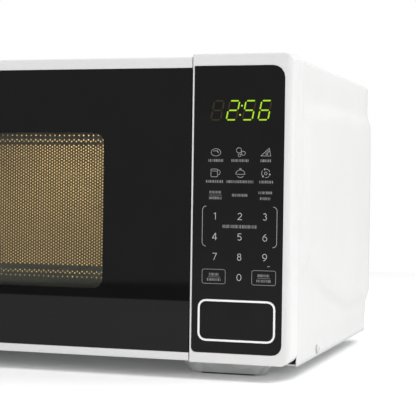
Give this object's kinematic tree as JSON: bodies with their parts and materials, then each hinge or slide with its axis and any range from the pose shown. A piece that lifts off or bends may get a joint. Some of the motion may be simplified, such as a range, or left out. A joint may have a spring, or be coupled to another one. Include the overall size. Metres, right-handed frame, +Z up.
{
  "type": "microwave oven",
  "caption": "Compact countertop microwave oven with a left-hinged black glass door, glass turntable, touch keypad with clock display and a push-button door release.",
  "frame": {"origin": "on the surface the oven stands on, under the middle of its bounding box", "axes": "+X to the oven's right as seen from the front, +Y towards its back, +Z up"},
  "size_m": [0.4484, 0.334, 0.2604],
  "materials": {
    "cabinet_paint": "satin white paint",
    "front_plastic": "satin white moulding",
    "door_glass": "black back-printed glass with a clear window",
    "keypad_film": "gloss black overlay",
    "display_light": "lit clock segments",
    "keypad_print": "printed legends",
    "black_plastic": "fine matte",
    "grey_plastic": "fine matte",
    "white_plastic": "fine matte",
    "zinc_steel": "zinc coated sheet",
    "screen_steel": "dark enamel on perforated sheet",
    "cavity_enamel": "semi-gloss enamel",
    "clear_glass": "clear",
    "clear_film": "clear film",
    "copper": "varnished copper wire",
    "aluminium": "plain",
    "screw_steel": "nickel plated",
    "circuit_board": "solder mask",
    "rubber": "matte",
    "mica": "pressed mica"
  },
  "bodies": {
    "root": {"outer_cabinet": "cabinet_paint", "base_plate": "zinc_steel", "rear_panel": "zinc_steel", "front_frame": "zinc_steel", "cavity_shell": "cavity_enamel", "foot_pad_front_left": "rubber", "foot_pad_front_right": "rubber", "foot_pad_rear_left": "rubber", "foot_pad_rear_right": "rubber", "side_screw_right": "screw_steel", "side_screw_left": "screw_steel", "lower_hinge_bracket": "zinc_steel", "upper_hinge_bracket": "zinc_steel", "panel_frame": "front_plastic", "membrane_keypad": "keypad_film", "control_board": "circuit_board", "display_module": "display_light", "button_spring": "screw_steel", "interlock_bracket": "black_plastic", "primary_interlock_switch": "black_plastic", "monitor_interlock_switch": "black_plastic", "secondary_interlock_switch": "black_plastic", "turntable_motor": "zinc_steel", "waveguide": "zinc_steel", "waveguide_cover": "mica", "magnetron_yoke": "zinc_steel", "magnetron_anode": "aluminium", "magnetron_filter_box": "zinc_steel", "magnetron_cutout": "black_plastic", "transformer_core": "zinc_steel", "transformer_windings": "copper", "capacitor": "aluminium", "capacitor_clamp": "zinc_steel", "high_voltage_diode": "black_plastic", "fan_housing": "black_plastic", "fan_motor": "zinc_steel", "air_duct": "grey_plastic", "oven_lamp": "clear_glass", "noise_filter_board": "circuit_board", "cord_bushing": "black_plastic"},
    "door": {"door_frame": "front_plastic", "door_glass": "door_glass", "door_screen": "screen_steel", "door_film": "clear_film", "choke_cover": "black_plastic", "latch_spring": "screw_steel"},
    "latch": {"latch_hooks": "grey_plastic"},
    "button": {"release_button": "front_plastic", "button_inlay": "keypad_film"},
    "lever": {"release_lever": "grey_plastic"},
    "coupler": {"drive_coupler": "white_plastic"},
    "tray": {"glass_tray": "clear_glass"},
    "ring": {"roller_ring": "white_plastic"},
    "roller_1": {"tray_roller_1": "white_plastic"},
    "roller_2": {"tray_roller_2": "white_plastic"},
    "roller_3": {"tray_roller_3": "white_plastic"},
    "fan": {"fan_blade": "grey_plastic"}
  },
  "joints": [
    {"name": "door_hinge", "type": "hinge", "parent": "root", "child": "door", "pos_m": [-0.214, -0.153, 0.1365], "axis": [0, 0, 1], "range_deg": [-100, 0]},
    {"name": "button_press", "type": "slide", "parent": "root", "child": "button", "axis": [0, 1, 0], "range_m": [0, 0.004], "stiffness_N_per_m": 300, "springref_m": -0.004, "deforming": ["button_spring"]},
    {"name": "lever_turn", "type": "hinge", "parent": "root", "child": "lever", "pos_m": [0.1505, -0.134, 0.06], "axis": [1, 0, 0], "range_deg": [0, 20]},
    {"name": "latch_lift", "type": "slide", "parent": "door", "child": "latch", "axis": [0, 0, 1], "range_m": [0, 0.003], "stiffness_N_per_m": 100, "springref_m": -0.006, "deforming": ["latch_spring"]},
    {"name": "coupler_spin", "type": "hinge", "parent": "root", "child": "coupler", "pos_m": [-0.049, 0.005, 0.046], "axis": [0, 0, 1], "continuous": true},
    {"name": "tray_lift", "type": "slide", "parent": "coupler", "child": "tray", "axis": [0, 0, 1], "range_m": [0, 0.03]},
    {"name": "ring_spin", "type": "hinge", "parent": "root", "child": "ring", "pos_m": [-0.049, 0.005, 0.0453], "axis": [0, 0, 1], "continuous": true},
    {"name": "roller_1_spin", "type": "hinge", "parent": "ring", "child": "roller_1", "pos_m": [-0.049, 0.103, 0.0453], "axis": [0, 1, 0], "continuous": true},
    {"name": "roller_2_spin", "type": "hinge", "parent": "ring", "child": "roller_2", "pos_m": [-0.13387, -0.044, 0.0453], "axis": [-0.866, -0.5, 0], "continuous": true},
    {"name": "roller_3_spin", "type": "hinge", "parent": "ring", "child": "roller_3", "pos_m": [0.03587, -0.044, 0.0453], "axis": [0.866, -0.5, 0], "continuous": true},
    {"name": "fan_spin", "type": "hinge", "parent": "root", "child": "fan", "pos_m": [0.1635, 0.127, 0.1085], "axis": [0, 1, 0], "continuous": true}
  ],
  "couplings": [
    {"joint": "lever_turn", "follows": "button_press", "rad_per_m": 87},
    {"joint": "latch_lift", "follows": "button_press", "ratio": 0.75},
    {"joint": "ring_spin", "follows": "coupler_spin", "ratio": 0.5},
    {"joint": "roller_1_spin", "follows": "coupler_spin", "ratio": -7},
    {"joint": "roller_2_spin", "follows": "coupler_spin", "ratio": -7},
    {"joint": "roller_3_spin", "follows": "coupler_spin", "ratio": -7}
  ]
}
